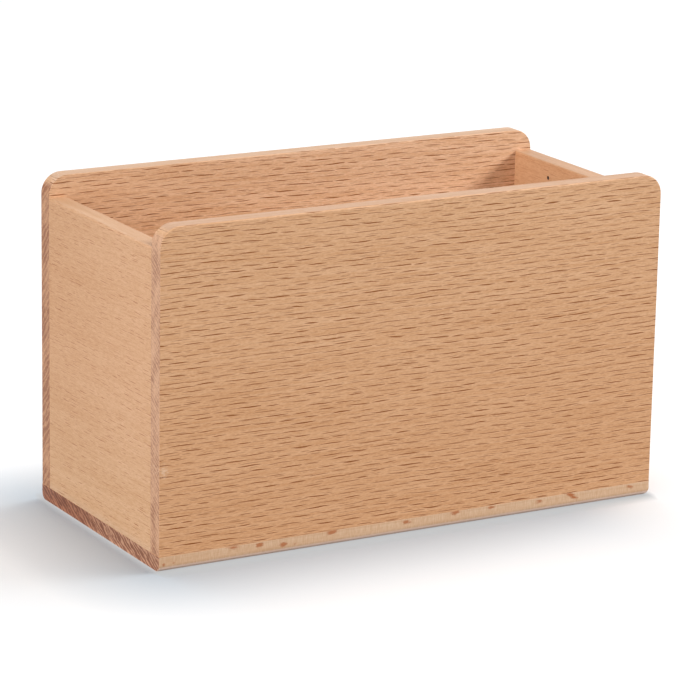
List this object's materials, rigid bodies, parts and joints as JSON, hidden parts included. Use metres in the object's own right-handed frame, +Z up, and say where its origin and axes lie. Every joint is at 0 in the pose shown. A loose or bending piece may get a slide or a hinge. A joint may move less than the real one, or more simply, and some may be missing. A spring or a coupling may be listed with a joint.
{
  "type": "pen holder",
  "caption": "Open-top rectangular beech desk box for pens and markers: tall front and back panels with rounded top corners, lower side panels set between them, and a flush bottom board.",
  "frame": {"origin": "middle of the underside of the bottom board, on the surface that the holder stands on", "axes": "+X along the length to the right, +Y from the front panel to the back panel, +Z up"},
  "size_m": [0.178, 0.084, 0.107],
  "materials": {
    "front_panel": "sanded beech under a thin matt clear coat, plain-sawn face with short dark flecks along the length",
    "back_panel": "sanded beech under a thin matt clear coat, plain-sawn face with short dark flecks along the length",
    "side_panels": "sanded pale beech under a thin matt clear coat, fine straight grain from front to back",
    "bottom_board": "sanded beech under a thin matt clear coat, dark end grain at both ends, rounded lower edges",
    "dowels": "plain turned beech, chamfered ends, hidden in the corner joints"
  },
  "bodies": {
    "root": {"front_panel": "front_panel", "back_panel": "back_panel", "left_side_panel": "side_panels", "right_side_panel": "side_panels", "bottom_board": "bottom_board", "dowel_front_left_lower": "dowels", "dowel_front_left_upper": "dowels", "dowel_front_right_lower": "dowels", "dowel_front_right_upper": "dowels", "dowel_back_left_lower": "dowels", "dowel_back_left_upper": "dowels", "dowel_back_right_lower": "dowels", "dowel_back_right_upper": "dowels"}
  },
  "joints": []
}
